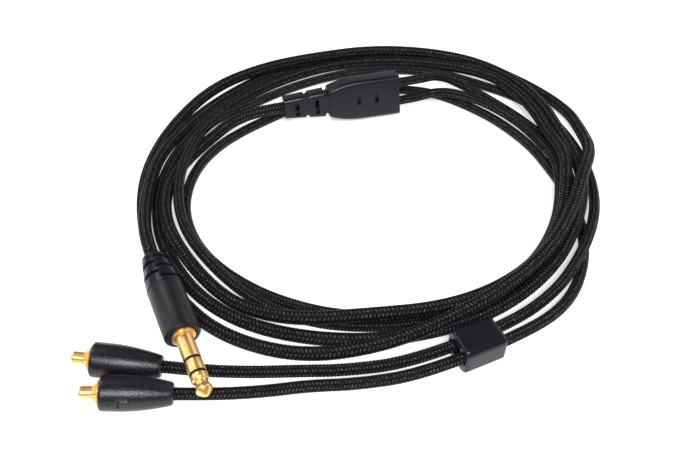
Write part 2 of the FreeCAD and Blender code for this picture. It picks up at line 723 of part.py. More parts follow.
def make_cable(label, points, radius):
    """A round braided cable swept along its route."""
    path = tube_path(points, label)
    section = Part.Wire(Part.makeCircle(radius, points[0], points[1] - points[0]))
    solid = path.makePipeShell([section], True, False)
    cable = doc.addObject("Part::Feature", label)
    cable.Shape = solid
    expected = math.pi * radius ** 2 * path.Length
    print(f"{label}: length {path.Length:.1f} mm, volume {solid.Volume:.1f} mm3, "
          f"section times length {expected:.1f} mm3")
    if abs(solid.Volume / expected - 1) > 0.01:
        raise RuntimeError(f"{label} is not the tube that its route describes")
    return keep(cable, label)


def make_cables():
    make_cable("main_cable", main_route(), size("main_cable_radius"))
    make_cable("right_leg_cable", leg_route("right", 1, 5.0, RIGHT_LAY, RIGHT_TAIL),
               size("leg_cable_radius"))
    make_cable("left_leg_cable", leg_route("left", -1, 4.0, LEFT_LAY, LEFT_TAIL),
               size("leg_cable_radius"))


# the legs between the slider and the connectors, beside the coil
RIGHT_TAIL = [(-4.1, -60.3, 1.25), (-15.0, -60.5, 1.25), (-23.6, -60.75, 1.25)]
LEFT_TAIL = [(-2.5, -63.5, 1.25), (-12.0, -63.9, 1.25), (-20.2, -65.15, 1.25)]


# ---------------------------------------------------------------- build and export

make_plug()
make_splitter()
make_slider()
for connector_side in CONNECTORS:
    make_connector(connector_side)
make_cables()
doc.recompute()

for item in doc.Objects:
    if "Invalid" in item.State or "Error" in item.State:
        raise RuntimeError(f"{item.Name} did not compute: {item.State}")
for piece in SUB_PARTS:
    if piece.Shape.isNull() or not piece.Shape.isValid():
        raise RuntimeError(f"{piece.Label} has no valid shape")

os.makedirs("parts", exist_ok=True)
for piece in SUB_PARTS:
    piece.Shape.exportStep(f"parts/{piece.Label}.step")
    print(f"{piece.Label}: {len(piece.Shape.Solids)} solid(s), {piece.Shape.Volume:.2f} mm3")

whole = FreeCAD.BoundBox()
for piece in SUB_PARTS:
    whole.add(piece.Shape.BoundBox)
print(f"{len(SUB_PARTS)} sub-parts, box {whole}")
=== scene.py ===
"""A detachable in-ear monitor cable, loosely coiled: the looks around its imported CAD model.

Lengths are in millimetres, and MM turns them into Blender's metres, except where a comment or
a docstring says metres.
"""
import json
import math

import bmesh
import bpy
import numpy as np
from mathutils import Matrix, Vector


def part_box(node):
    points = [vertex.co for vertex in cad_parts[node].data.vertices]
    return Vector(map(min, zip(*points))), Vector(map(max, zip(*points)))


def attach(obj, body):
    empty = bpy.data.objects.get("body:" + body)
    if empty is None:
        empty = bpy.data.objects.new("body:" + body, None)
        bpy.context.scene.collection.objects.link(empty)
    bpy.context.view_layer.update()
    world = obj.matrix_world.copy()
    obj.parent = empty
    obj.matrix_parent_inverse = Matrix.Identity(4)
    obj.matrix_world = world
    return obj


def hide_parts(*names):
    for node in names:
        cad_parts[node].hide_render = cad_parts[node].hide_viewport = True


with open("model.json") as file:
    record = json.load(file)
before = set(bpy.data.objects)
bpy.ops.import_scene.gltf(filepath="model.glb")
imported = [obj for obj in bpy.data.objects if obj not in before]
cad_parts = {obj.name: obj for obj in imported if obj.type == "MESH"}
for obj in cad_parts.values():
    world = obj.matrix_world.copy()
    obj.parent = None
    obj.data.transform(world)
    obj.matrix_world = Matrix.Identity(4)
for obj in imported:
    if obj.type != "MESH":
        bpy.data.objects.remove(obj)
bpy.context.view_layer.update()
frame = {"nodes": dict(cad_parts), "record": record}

MM = 0.001
ROOT, SLIDER = "root", "slider"

# ---------------------------------------------------------------- driving dimensions

MAIN_RADIUS = 1.5
LEG_RADIUS = 1.25
CABLE_ENTRY = 2.5
COIL_CENTRE = Vector((-0.23, 8.68, 0.0))

BOOT_LENGTH = 9.2
BARREL_LENGTH = 12.4
BARREL_RADIUS = 3.75
SHAFT_RADIUS = 1.75
SPLITTER_BOOT_LENGTH = 12.0
SPLITTER_LENGTH = 19.0
SPLITTER_THICKNESS = 5.6
LEG_EXIT_OFFSET = 2.6
SLIDER_LENGTH = 9.2
SLIDER_WIDTH = 7.4
SLIDER_HEIGHT = 7.0
SLIDER_HOLE_OFFSET = 1.65
HOUSING_LENGTH = 13.6
HOUSING_RADIUS = 3.45
HOUSING_TAIL_RADIUS = 2.15
HOUSING_STRAIGHT = 4.2

# headings are in degrees from +X; the lean rolls the splitter onto its narrow edge
SPLITTER_HEADING = 13.0
SPLITTER_LEAN = 76.0
SLIDER_HEADING = 24.5

# from a piece's own origin to the middle of its mount or of the splices, along its axis
JACK_MOUNT_AT = BOOT_LENGTH + BARREL_LENGTH + 5.65
NOSE_MOUNT_AT = -2.325
SPLICES_AT = 19.8


# ---------------------------------------------------------------- places

def added(thing):
    """The object, in the scene."""
    bpy.context.scene.collection.objects.link(thing)
    return thing


def placed(origin, turn, dip=0.0, lean=0.0):
    """Local +X turned to a heading, its far end dipped, and rolled about itself; origin in mm."""
    spin = (Matrix.Rotation(math.radians(turn), 4, "Z")
            @ Matrix.Rotation(math.radians(dip), 4, "Y")
            @ Matrix.Rotation(math.radians(lean), 4, "X"))
    return Matrix.Translation(Vector(origin) * MM) @ spin


def place_from_mount(name, along, sign):
    """The place of a piece whose own axis a mount lies on, that far along it.

    The sign is -1 where the mount points against the piece's own +X.
    """
    mount = next(m for m in frame["record"]["mounts"] if m["name"] == name)
    axis = Vector(mount["axis"]) * sign
    origin = Vector(mount["pos_m"]) / MM - axis * along
    return placed(origin, math.degrees(math.atan2(axis.y, axis.x)),
                  -math.degrees(math.asin(axis.z)))


def middle_of(node):
    """The middle of a CAD node's box, in millimetres."""
    low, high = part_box(node)
    return (low + high) / 2 / MM


def splitter_place():
    """The splitter's own origin is at the cable end of its boot, and the splices on its axis."""
    at_origin = placed((0, 0, 0), SPLITTER_HEADING, lean=SPLITTER_LEAN)
    origin = middle_of("splitter_splices") - at_origin.to_3x3() @ Vector((SPLICES_AT, 0, 0))
    return placed(origin, SPLITTER_HEADING, lean=SPLITTER_LEAN)


PLUG = place_from_mount("jack_sleeve", JACK_MOUNT_AT, 1)
LEFT = place_from_mount("left_earpiece_connector", NOSE_MOUNT_AT, -1)
RIGHT = place_from_mount("right_earpiece_connector", NOSE_MOUNT_AT, -1)
SPLITTER = splitter_place()
SLIDE = placed(middle_of("chin_slider"), SLIDER_HEADING)


def on_axis(place, along, across=0.0):
    """A point on a piece's own axis, or beside it, in metres."""
    return place @ Vector((along * MM, across * MM, 0))


# ---------------------------------------------------------------- the cables' routes

def coil_point(bearing, radius, height):
    """A point in metres, by its bearing about the middle of the coil, in degrees from +X."""
    angle = math.radians(bearing)
    return (COIL_CENTRE + Vector((radius * math.cos(angle), radius * math.sin(angle), height))) * MM


def beside_coil(x, y, height):
    """A point in metres, by its x and y from the middle of the coil."""
    return (COIL_CENTRE + Vector((x, y, height))) * MM


# How the cables lie, as (bearing, radius, height) about the middle of the coil: clockwise, and
# each turn over or beside the last one. The CAD source holds the same lists.
MAIN_LAY = [
    (202, 54.6, 5.6), (190, 52.6, 3.9), (178, 51.4, 3.8), (160, 49.5, 1.9),
    (144, 48.4, 1.5), (126, 48.4, 1.5), (108, 50.2, 1.5), (84, 53, 1.5),
    (60, 57.6, 1.5), (42, 58.6, 1.5), (24, 60.8, 1.6), (12, 58.4, 2.9),
    (0, 55.6, 7.2), (348, 52, 9.3), (336, 51.3, 7.2), (320, 51.6, 6.9),
    (304, 51.9, 6.6), (288, 53.3, 5.3), (272, 56.2, 3.3), (256, 59.1, 1.5),
    (240, 60.2, 1.5), (226, 58.6, 1.5), (212, 56.9, 1.5), (196, 55.3, 1.5),
    (180, 54.4, 1.5), (162, 53.2, 2.0), (144, 50.8, 4.7), (126, 48.2, 4.9),
    (108, 47.9, 4.0), (84, 50.8, 3.8), (60, 54.7, 3.6), (42, 55.1, 4.2),
    (26, 53.7, 4.3), (12, 52, 4.1), (0, 52.7, 4.6), (348, 52.9, 6.1),
    (336, 53.2, 4.2), (320, 53.8, 3.8), (304, 53.75, 2.7), (288, 53.3, 1.6),
    (268, 53.9, 1.5), (248, 55.3, 1.5), (232, 55.7, 1.5), (216, 54, 1.5),
    (200, 52.5, 1.5), (180, 49.6, 1.5), (160, 46.4, 1.5), (140, 44.6, 1.5),
    (120, 44.6, 1.5), (102, 46.2, 1.5), (84, 48.1, 1.5), (66, 50.7, 1.6),
    (48, 51.6, 4.1), (36, 51.3, 4.3), (24, 50.2, 4.2), (12, 48.9, 4.1),
    (0, 49.6, 6.3), (348, 48.9, 6.5), (336, 49.7, 4.3), (320, 50.4, 3.9),
    (304, 50, 3.9), (288, 49.2, 3.9), (270, 48.8, 4.2), (254, 52, 4.1),
    (240, 52.3, 1.7), (228, 51.6, 1.7), (214, 51.3, 4.1), (202, 50.4, 4.2),
    (190, 48.1, 3.5), (178, 45.1, 2.2), (166, 41.6, 1.9), (154, 37.8, 3.9),
]
RIGHT_LAY = [
    (58, 40.6, 5.9), (48, 44.2, 2.6), (36, 45.9, 1.25), (24, 47.4, 1.25),
    (12, 49.8, 1.25), (0, 50.4, 2.3), (348, 50.7, 4.4), (336, 51.3, 1.8),
    (320, 51.75, 1.25), (304, 51.35, 1.25), (284, 50.45, 1.25), (264, 50, 1.25),
    (250, 49.6, 1.25), (239, 49.1, 2.0), (228, 48.6, 3.6), (214, 47.9, 3.9),
    (202, 47, 3.9), (190, 45.5, 4.9), (178, 44, 5.2), (166, 43.1, 4.8),
    (154, 42.4, 3.2), (142, 40.9, 1.3), (126, 40, 1.25), (110, 40.6, 1.25),
    (94, 42.4, 1.25), (78, 44.9, 1.25), (62, 47.8, 1.25), (48, 49.2, 1.25),
    (36, 52.6, 1.25), (24, 54.8, 1.25), (12, 55.4, 1.25), (0, 56.2, 1.3),
    (348, 56.4, 2.4), (336, 56.6, 4.1), (324, 57.1, 4.3), (313.5, 57.8, 3.3),
]
LEFT_LAY = [
    (54, 35.9, 4.2), (44, 38.6, 4.3), (34, 40.9, 4.3), (22, 44.5, 3.1),
    (12, 47.1, 1.8), (0, 47.9, 4.1), (348, 48.1, 3.4), (336, 48.7, 1.3),
    (320, 49.1, 1.25), (304, 48.7, 1.25), (284, 47.8, 1.25), (264, 47.4, 1.25),
    (246, 46.9, 1.25), (230, 46.8, 1.25), (216, 46.9, 1.25), (202, 45.9, 1.25),
    (190, 44, 1.25), (178, 41.6, 1.25), (166, 38.4, 1.25), (154, 35, 1.25),
    (140, 32.3, 1.25), (122, 31.5, 1.25), (104, 31.8, 1.25), (86, 33.6, 1.25),
    (70, 36.2, 1.25), (56, 38.2, 1.25), (42, 39.2, 1.25), (28, 41.3, 1.25),
    (12, 44.4, 1.25), (0, 46.7, 1.25), (348, 51, 1.25), (336, 55.2, 1.25),
    (324, 58.8, 1.6), (312, 61.6, 3.0),
]
# the legs between the slider and the connectors, beside the coil
RIGHT_TAIL = [(-4.1, -60.3, 1.25), (-15.0, -60.5, 1.25), (-23.6, -60.75, 1.25)]
LEFT_TAIL = [(-2.5, -63.5, 1.25), (-12.0, -63.9, 1.25), (-20.2, -65.15, 1.25)]


def main_route():
    """From inside the plug's boot, round the coil and into the splitter's boot."""
    return ([on_axis(PLUG, CABLE_ENTRY), on_axis(PLUG, -6.0)]
            + [coil_point(*station) for station in MAIN_LAY]
            + [on_axis(SPLITTER, -5.0), on_axis(SPLITTER, CABLE_ENTRY)])


def leg_route(connector, side, lead, lay, tail):
    """From inside the splitter, round the coil, through the slider and into a connector."""
    leg_end = SPLITTER_BOOT_LENGTH + SPLITTER_LENGTH
    return ([on_axis(SPLITTER, leg_end - CABLE_ENTRY, side * LEG_EXIT_OFFSET),
             on_axis(SPLITTER, leg_end + lead, side * LEG_EXIT_OFFSET)]
            + [coil_point(*station) for station in lay]
            + [on_axis(SLIDE, 9.5, side * SLIDER_HOLE_OFFSET),
               on_axis(SLIDE, -13.5, side * SLIDER_HOLE_OFFSET)]
            + [beside_coil(*point) for point in tail]
            + [on_axis(connector, HOUSING_LENGTH + 7.0),
               on_axis(connector, HOUSING_LENGTH - CABLE_ENTRY)])


def smooth_line(points):
    """The points of one NURBS curve with the route's points as its control points."""
    curve = bpy.data.curves.new("route", "CURVE")
    curve.dimensions = "3D"
    curve.resolution_u = 24
    spline = curve.splines.new("NURBS")
    spline.points.add(len(points) - 1)
    for control, point in zip(spline.points, points):
        control.co = (*point, 1.0)
    spline.order_u = 3
    spline.use_endpoint_u = True
    holder = added(bpy.data.objects.new("route", curve))
    bpy.context.view_layer.update()
    line = bpy.data.meshes.new_from_object(holder)
    found = np.array([v.co for v in line.vertices])
    bpy.data.objects.remove(holder)
    bpy.data.curves.remove(curve)
    bpy.data.meshes.remove(line)
    return found


def evenly(line, step):
    """The same line with its points an even step apart."""
    runs = np.linalg.norm(np.diff(line, axis=0), axis=1)
    travelled = np.concatenate([[0.0], np.cumsum(runs)])
    count = int(round(travelled[-1] / step)) + 1
    stops = np.linspace(0.0, travelled[-1], count)
    return np.stack([np.interp(stops, travelled, line[:, i]) for i in range(3)], 1)


def carried_frames(line):
    """Two directions across the line at each of its points, carried along without twist."""
    ahead = np.gradient(line, axis=0)
    ahead /= np.linalg.norm(ahead, axis=1)[:, None]
    side = np.cross(ahead[0], (0.0, 0.0, 1.0))
    sides = []
    for direction in ahead:
        side = side - direction * side.dot(direction)
        side /= np.linalg.norm(side)
        sides.append(side)
    sides = np.array(sides)
    return sides, np.cross(ahead, sides)


# ---------------------------------------------------------------- braid

YARNS = 8
BRAID_RELIEF = 0.09
BRAID_AROUND = 24
RINGS_A_STITCH = 3


def braid_height(around, along):
    """How far each point of a two-over-two braid stands out, 0 to 1; around 0 to 1 is a turn."""
    first, second = YARNS * around + along, YARNS * around - along
    stage = np.mod(np.floor(first) + np.floor(second), 4)
    first_over = stage < 1.5
    across = np.where(first_over, first % 1.0, second % 1.0)
    down = (stage % 2 + np.where(first_over, second % 1.0, first % 1.0)) / 2
    return np.sqrt(np.clip(1 - (2 * across - 1) ** 2, 0, 1)) * np.sin(np.pi * down) ** 0.6


def braided_cable(name, route, radius, stitch):
    """A cable whose sheath is a fine relief braid, on the route's own smooth line."""
    line = evenly(smooth_line(route), stitch / RINGS_A_STITCH * MM)
    sides, ups = carried_frames(line)
    rings = len(line)
    around = np.arange(BRAID_AROUND) / BRAID_AROUND
    along = np.arange(rings)[:, None] / RINGS_A_STITCH
    height = braid_height(around[None, :] + 1e-6, along + 1e-6)
    reach = (radius - BRAID_RELIEF + 1.25 * BRAID_RELIEF * height) * MM
    angle = 2 * np.pi * around
    cosine, sine = np.cos(angle)[None, :, None], np.sin(angle)[None, :, None]
    spots = (line[:, None, :]
             + reach[:, :, None] * (cosine * sides[:, None, :] + sine * ups[:, None, :]))
    ring, step = np.meshgrid(np.arange(rings - 1), np.arange(BRAID_AROUND), indexing="ij")
    following = (step + 1) % BRAID_AROUND
    quads = np.stack([ring * BRAID_AROUND + step, ring * BRAID_AROUND + following,
                      (ring + 1) * BRAID_AROUND + following,
                      (ring + 1) * BRAID_AROUND + step], -1).reshape(-1, 4)
    caps = [list(range(BRAID_AROUND))[::-1],
            list(range((rings - 1) * BRAID_AROUND, rings * BRAID_AROUND))]
    mesh = bpy.data.meshes.new(name)
    mesh.from_pydata(spots.reshape(-1, 3).tolist(), [], quads.tolist() + caps)
    corners_u = np.stack([step, step + 1, step + 1, step], -1) / BRAID_AROUND
    corners_v = np.stack([ring, ring, ring + 1, ring + 1], -1) / RINGS_A_STITCH
    flat = np.stack([corners_u, corners_v], -1).reshape(-1)
    flat = np.concatenate([flat, np.zeros(4 * BRAID_AROUND)])
    mesh.uv_layers.new(name="braid").data.foreach_set("uv", flat)
    mesh.shade_smooth()
    return added(bpy.data.objects.new(name, mesh)), line


# ---------------------------------------------------------------- materials

class Paint:
    """A node material, written as short expressions."""

    def __init__(self, name):
        self.material = bpy.data.materials.new(name)
        self.material.use_nodes = True
        self.tree = self.material.node_tree
        self.shader = self.tree.nodes["Principled BSDF"]

    def add(self, kind, inputs=(), **settings):
        node = self.tree.nodes.new(kind)
        for key, value in settings.items():
            setattr(node, key, value)
        for key, value in dict(inputs).items():
            self.feed(node.inputs[key], value)
        return node

    def feed(self, socket, value):
        if isinstance(value, bpy.types.NodeSocket):
            self.tree.links.new(value, socket)
        else:
            socket.default_value = value

    def calc(self, operation, *values):
        """The result of one math node."""
        node = self.tree.nodes.new("ShaderNodeMath")
        node.operation = operation
        for socket, value in zip(node.inputs, values):
            self.feed(socket, value)
        return node.outputs[0]

    def blend(self, share, low, high):
        """A number that goes from low to high with share."""
        return self.calc("MULTIPLY_ADD", share, self.calc("SUBTRACT", high, low), low)

    def colours(self, share, *stops):
        """A colour ramp through (place, colour) stops."""
        ramp = self.add("ShaderNodeValToRGB", {"Fac": share})
        elements = ramp.color_ramp.elements
        while len(elements) < len(stops):
            elements.new(1.0)
        for element, (spot, colour) in zip(elements, stops):
            element.position = spot
            element.color = (*colour, 1.0)
        return ramp.outputs["Color"]

    def noise(self, scale, detail=2.0):
        vector = self.add("ShaderNodeTexCoord").outputs["Object"]
        return self.add("ShaderNodeTexNoise",
                        {"Vector": vector, "Scale": scale, "Detail": detail}).outputs["Fac"]

    def bump(self, height, strength, distance):
        node = self.add("ShaderNodeBump",
                        {"Height": height, "Strength": strength, "Distance": distance})
        self.feed(self.shader.inputs["Normal"], node.outputs[0])

    def set(self, **values):
        for key, value in values.items():
            self.feed(self.shader.inputs[key.replace("_", " ")], value)


def braid_paint():
    """Black polyester yarn: each stitch is a rounded, glossy bundle of filaments."""
    paint = Paint("braided_sheath")
    spot = paint.add("ShaderNodeSeparateXYZ",
                     {"Vector": paint.add("ShaderNodeUVMap", uv_map="braid").outputs[0]})
    turn = paint.calc("MULTIPLY", spot.outputs["X"], float(YARNS))
    first = paint.calc("ADD", turn, spot.outputs["Y"])
    second = paint.calc("SUBTRACT", turn, spot.outputs["Y"])
    first_part, second_part = paint.calc("FRACT", first), paint.calc("FRACT", second)
    whole = paint.calc("ADD", paint.calc("FLOOR", first), paint.calc("FLOOR", second))
    stage = paint.calc("FLOORED_MODULO", whole, 4.0)
    first_over = paint.calc("LESS_THAN", stage, 1.5)
    across = paint.blend(first_over, second_part, first_part)
    step = paint.calc("FLOORED_MODULO", stage, 2.0)
    down = paint.calc("MULTIPLY",
                     paint.calc("ADD", step, paint.blend(first_over, first_part, second_part)),
                     0.5)
    offset = paint.calc("MULTIPLY_ADD", across, 2.0, -1.0)
    offset_squared = paint.calc("MULTIPLY", offset, offset)
    round_across = paint.calc("SQRT", paint.calc("SUBTRACT", 1.0, offset_squared))
    half_wave = paint.calc("SINE", paint.calc("MULTIPLY", down, math.pi))
    round_along = paint.calc("POWER", half_wave, 0.6)
    body = paint.calc("MULTIPLY", round_across, round_along)
    filament = paint.calc("SINE", paint.calc("MULTIPLY", across, 2 * math.pi * 4))
    speckle = paint.noise(2600.0)
    height = paint.calc("ADD", body, paint.calc("MULTIPLY", filament, 0.06))
    paint.bump(paint.calc("ADD", height, paint.calc("MULTIPLY", speckle, 0.25)), 0.9, 0.00014)
    # painted shade and painted glints: the base colour darkens into the grooves between stitches,
    # and random stitch crests are coloured much lighter
    painted_shade_and_glints = paint.calc("MULTIPLY", body, paint.blend(speckle, 0.2, 1.6))
    paint.set(Base_Color=paint.colours(painted_shade_and_glints, (0.0, (0.0004, 0.0004, 0.0005)),
                                       (0.5, (0.0022, 0.0022, 0.0026)),
                                       (0.8, (0.018, 0.018, 0.02)), (1.0, (0.09, 0.09, 0.1))),
              Roughness=paint.blend(paint.calc("MULTIPLY", painted_shade_and_glints, painted_shade_and_glints), 0.85, 0.18))
    paint.set(Specular_IOR_Level=0.18)
    return paint.material


def plastic_paint(name, dark, light, rough, grain, depth, speckle=0.0, gloss=0.32):
    """Moulded plastic with a spark-eroded grain, a little cloudiness and paler worn edges."""
    paint = Paint(name)
    fine, cloud = paint.noise(grain, 3.0), paint.noise(220.0, 3.0)
    edge = paint.calc("MULTIPLY", paint.calc("SUBTRACT", paint.add("ShaderNodeNewGeometry")
                                           .outputs["Pointiness"], 0.52), 5.0)
    wear = paint.calc("MAXIMUM", edge, 0.0)
    tone = paint.calc("ADD", paint.blend(cloud, 0.15, 0.75), paint.calc("MINIMUM", wear, 0.35))
    tone = paint.calc("ADD", tone, paint.blend(fine, -speckle, speckle))
    paint.set(Base_Color=paint.colours(tone, (0.0, dark), (1.0, light)),
              Roughness=paint.blend(fine, rough - 0.07, rough + 0.09))
    paint.bump(fine, 0.7, depth * MM)
    paint.set(Specular_IOR_Level=gloss)
    return paint.material


def metal_paint(name, low, high, rough):
    """Plated metal: faint turning lines, small stains and a soft wear pattern."""
    paint = Paint(name)
    lines = paint.noise(9000.0, 2.0)
    stain = paint.noise(700.0, 4.0)
    paint.set(Metallic=1.0)
    paint.set(Base_Color=paint.colours(stain, (0.3, low), (0.65, high)),
              Roughness=paint.blend(stain, rough - 0.05, rough + 0.1))
    paint.bump(lines, 0.12, 0.000012)
    return paint.material


def build_materials():
    return {
        "braid": braid_paint(),
        "moulded": plastic_paint("moulded_plastic", (0.003, 0.0033, 0.0052),
                                 (0.011, 0.012, 0.020), rough=0.28, grain=5200.0, depth=0.02),
        "barrel": plastic_paint("barrel_finish", (0.006, 0.0063, 0.008),
                                (0.014, 0.0147, 0.018), rough=0.4, grain=6500.0, depth=0.012),
        "housing": plastic_paint("housing_plastic", (0.003, 0.0033, 0.0055),
                                 (0.016, 0.0165, 0.025), rough=0.28, grain=4200.0, depth=0.07,
                                 speckle=1.6, gloss=0.45),
        "insulator": plastic_paint("insulator", (0.004, 0.004, 0.004),
                                   (0.012, 0.012, 0.012), rough=0.4, grain=6000.0, depth=0.008),
        "gold": metal_paint("gold_contact", (0.95, 0.56, 0.17), (1.0, 0.66, 0.27), rough=0.36),
        "copper": metal_paint("copper", (0.55, 0.22, 0.10), (0.85, 0.42, 0.22), rough=0.3),
        "solder": metal_paint("solder", (0.5, 0.5, 0.5), (0.7, 0.7, 0.68), rough=0.4),
        "mould": plastic_paint("inner_mould", (0.05, 0.05, 0.055), (0.11, 0.11, 0.12),
                               rough=0.5, grain=3000.0, depth=0.02),
        "floor": floor_paint(),
    }


def floor_paint():
    paint = Paint("floor")
    paint.set(Base_Color=paint.colours(paint.noise(6.0), (0.0, (0.90, 0.91, 0.905)),
                                       (1.0, (0.93, 0.935, 0.93))), Roughness=0.7)
    paint.set(Emission_Color=(0.97, 1.0, 0.98, 1.0), Emission_Strength=0.55)
    return paint.material


# ---------------------------------------------------------------- mesh tools

def as_mesh(bm, name):
    mesh = bpy.data.meshes.new(name)
    bm.to_mesh(mesh)
    bm.free()
    return mesh


def closed_mesh(bm, name, place):
    """The mesh of a closed skin in its place, with its faces turned outwards."""
    bmesh.ops.recalc_face_normals(bm, faces=bm.faces)
    mesh = as_mesh(bm, name)
    mesh.transform(place)
    return mesh


def new_piece(name, mesh, material):
    mesh.materials.append(material)
    return added(bpy.data.objects.new(name, mesh))


def joined(bm, ring, following):
    """Faces between two closed rings with equally many points."""
    for step in range(len(ring)):
        ahead = (step + 1) % len(ring)
        bm.faces.new((ring[step], ring[ahead], following[ahead], following[step]))


def softened(outline, size, steps=3):
    """A closed outline with each corner rounded by a short curve, as far as its sides allow."""
    points = [Vector(p) for p in outline]
    found = []
    for index, corner in enumerate(points):
        before, after = points[index - 1], points[(index + 1) % len(points)]
        back, ahead = before - corner, after - corner
        if back.length < 1e-9 or ahead.length < 1e-9 or math.pi - back.angle(ahead) < 0.2:
            found.append(corner)
            continue
        reach = min(size, 0.42 * back.length, 0.42 * ahead.length)
        start, end = corner + back.normalized() * reach, corner + ahead.normalized() * reach
        for share in range(steps + 1):
            t = share / steps
            found.append(start * (1 - t) ** 2 + corner * 2 * t * (1 - t) + end * t ** 2)
    return found


def refined(outline, longest):
    """The same closed outline with its long sides divided."""
    found = []
    for index, point in enumerate(outline):
        following = outline[(index + 1) % len(outline)]
        parts = max(1, math.ceil((following - point).length / longest))
        found += [point.lerp(following, part / parts) for part in range(parts)]
    return found


def turned(name, profile, place, material, around=96, soft=0.12, longest=None, shape=None):
    """A piece turned about local +X from a closed (along, radius) profile in millimetres.

    shape(along, radius, angle) may change the radius anywhere on it.
    """
    outline = softened(profile, soft)
    if longest:
        outline = refined(outline, longest)
    bm = bmesh.new()
    rings = []
    for along, radius in outline:
        if radius < 1e-6:
            rings.append([bm.verts.new((along * MM, 0, 0))])
            continue
        ring = []
        for step in range(around):
            angle = 2 * math.pi * step / around
            reach = shape(along, radius, angle) if shape else radius
            ring.append(bm.verts.new((along * MM, reach * math.cos(angle) * MM,
                                      reach * math.sin(angle) * MM)))
        rings.append(ring)
    for ring, following in zip(rings, rings[1:] + rings[:1]):
        if len(ring) > 1 and len(following) > 1:
            joined(bm, ring, following)
            continue
        if len(ring) == len(following):
            continue
        for step in range(around):
            ahead = (step + 1) % around
            if len(ring) == 1:
                bm.faces.new((ring[0], following[ahead], following[step]))
            else:
                bm.faces.new((ring[step], ring[ahead], following[0]))
    for face in bm.faces:
        face.smooth = True
    return new_piece(name, closed_mesh(bm, name, place), material)


def rounded_box_outline(half_width, half_height, radius, steps=7):
    """A rounded rectangle about the origin, as (y, z) points."""
    found = []
    for corner, (sy, sz) in enumerate(((1, 1), (-1, 1), (-1, -1), (1, -1))):
        for step in range(steps):
            angle = math.pi / 2 * (corner + step / (steps - 1))
            found.append((sy * (half_width - radius) + radius * math.cos(angle),
                          sz * (half_height - radius) + radius * math.sin(angle)))
    return found


def lofted(name, sections, place, material):
    """A closed skin through (along, outline) sections with equally many points."""
    bm = bmesh.new()
    rings = [[bm.verts.new((along * MM, y * MM, z * MM)) for y, z in outline]
             for along, outline in sections]
    for ring, following in zip(rings, rings[1:]):
        joined(bm, ring, following)
    bm.faces.new(rings[0])
    bm.faces.new(rings[-1])
    return new_piece(name, closed_mesh(bm, name, place), material)


def carved(piece, tools, edge):
    """The tools cut out of the piece, and every sharp edge then rounded by that many mm."""
    for tool in tools:
        cut = piece.modifiers.new("cut", "BOOLEAN")
        cut.object = tool
        cut.operation = "DIFFERENCE"
        cut.solver = "EXACT"
    bevel = piece.modifiers.new("edges", "BEVEL")
    bevel.width = edge * MM
    bevel.segments = 2
    bevel.limit_method = "ANGLE"
    bevel.angle_limit = math.radians(35)
    bevel.use_clamp_overlap = True
    bpy.context.view_layer.update()
    graph = bpy.context.evaluated_depsgraph_get()
    result = bpy.data.meshes.new_from_object(piece.evaluated_get(graph))
    piece.modifiers.clear()
    piece.data = result
    for tool in tools:
        bpy.data.objects.remove(tool)
    result.shade_smooth()
    result.set_sharp_from_angle(angle=math.radians(50))
    even = piece.modifiers.new("even", "WEIGHTED_NORMAL")
    even.weight = 90
    even.keep_sharp = True
    return piece


def oblong(length, width, steps=10):
    """A flat outline with half-round ends, its long way along y, as (x, y) points."""
    radius = width / 2
    found = []
    for end in (1, -1):
        for step in range(steps + 1):
            angle = math.pi * step / steps + (0 if end > 0 else math.pi)
            found.append((radius * math.cos(angle),
                          end * (length / 2 - radius) + radius * math.sin(angle)))
    return found


def prism(name, outline, low, high, place, centre=(0, 0)):
    """A cutting tool: an (x, y) outline extruded from low to high along local z."""
    bm = bmesh.new()
    bottom, top = [[bm.verts.new(((centre[0] + x) * MM, (centre[1] + y) * MM, height * MM))
                    for x, y in outline] for height in (low, high)]
    joined(bm, bottom, top)
    bm.faces.new(bottom)
    bm.faces.new(top)
    return added(bpy.data.objects.new(name, closed_mesh(bm, name, place)))


def bore(name, start, end, across, radius, place, width=0.0):
    """A cutting tool along local x: a round hole, or an oblong one when width is given."""
    lying = place @ Matrix.Rotation(math.pi / 2, 4, "Y")
    if width:
        outline = oblong(width, 2 * radius, 20)
    else:
        turns = [2 * math.pi * step / 40 for step in range(40)]
        outline = [(radius * math.cos(turn), radius * math.sin(turn)) for turn in turns]
    return prism(name, outline, start, end, lying, (0, across))


def own(piece, slot, *nodes, body=ROOT):
    """The piece rides on its body and stands for its CAD nodes, which it hides; the slot is not
    used.
    """
    if nodes:
        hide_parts(*nodes)
    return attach(piece, body)


# ---------------------------------------------------------------- plug

SLOT_CENTRES = (1.5, 3.1, 4.7, 6.3, 7.9)
SLOT_HALF_WIDTH = 0.5
SLOT_SLOPE = 0.14
PLUG_FRONT = BOOT_LENGTH + BARREL_LENGTH
SHAFT_LENGTH = 14.5


def trench(along, arc, centre, half_length, half_width):
    """0 outside and 1 inside an oblong trench with round ends, with a short slope between."""
    beyond = max(abs(arc) - half_length, 0.0)
    inside = half_width - math.hypot(along - centre, beyond)
    share = min(max(inside / SLOT_SLOPE + 0.5, 0.0), 1.0)
    return share * share * (3 - 2 * share)


def boot_shape(along, radius, angle):
    """Relief slots that alternate between opposite quarters of the boot."""
    if radius < 2.0:
        return radius
    depth = 0.0
    for index, centre in enumerate(SLOT_CENTRES):
        for turn in (0.25, 1.25):
            middle = math.pi * (turn + 0.5 * (index % 2))
            away = (angle - middle + math.pi) % (2 * math.pi) - math.pi
            depth = max(depth, trench(along, away * radius, centre, 0.68 * radius,
                                      SLOT_HALF_WIDTH))
    return radius - depth * min(1.6, radius - 1.65)


